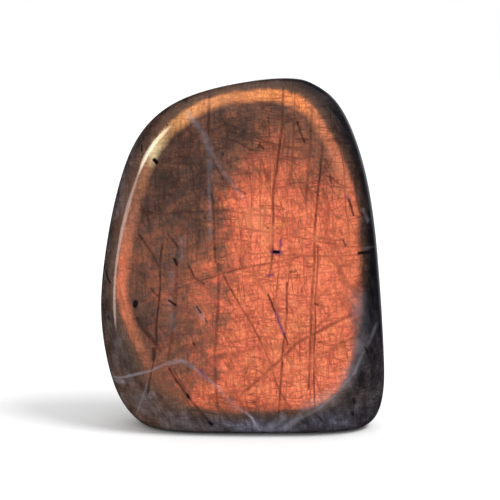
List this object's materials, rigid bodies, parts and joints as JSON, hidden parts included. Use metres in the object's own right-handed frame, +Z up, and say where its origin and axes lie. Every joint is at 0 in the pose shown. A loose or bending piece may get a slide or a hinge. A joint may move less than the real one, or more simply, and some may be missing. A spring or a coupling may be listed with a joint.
{
  "type": "polished labradorite freeform",
  "caption": "Upright freeform of polished labradorite with a copper orange flash on its broad front face, standing on a flat cut underside.",
  "frame": {"origin": "middle of the stone's box, in the plane of the flat cut underside", "axes": "+Z up through the height of the stone; the broad flashing face looks along -Y; +X is to the right of a viewer who faces it"},
  "size_m": [0.0902, 0.0372, 0.1099],
  "materials": {
    "polished_labradorite": "polished to a wet gloss, grey-brown feldspar with a copper orange flash on the front face"
  },
  "bodies": {
    "root": {"labradorite_stone": "polished_labradorite"}
  },
  "joints": []
}
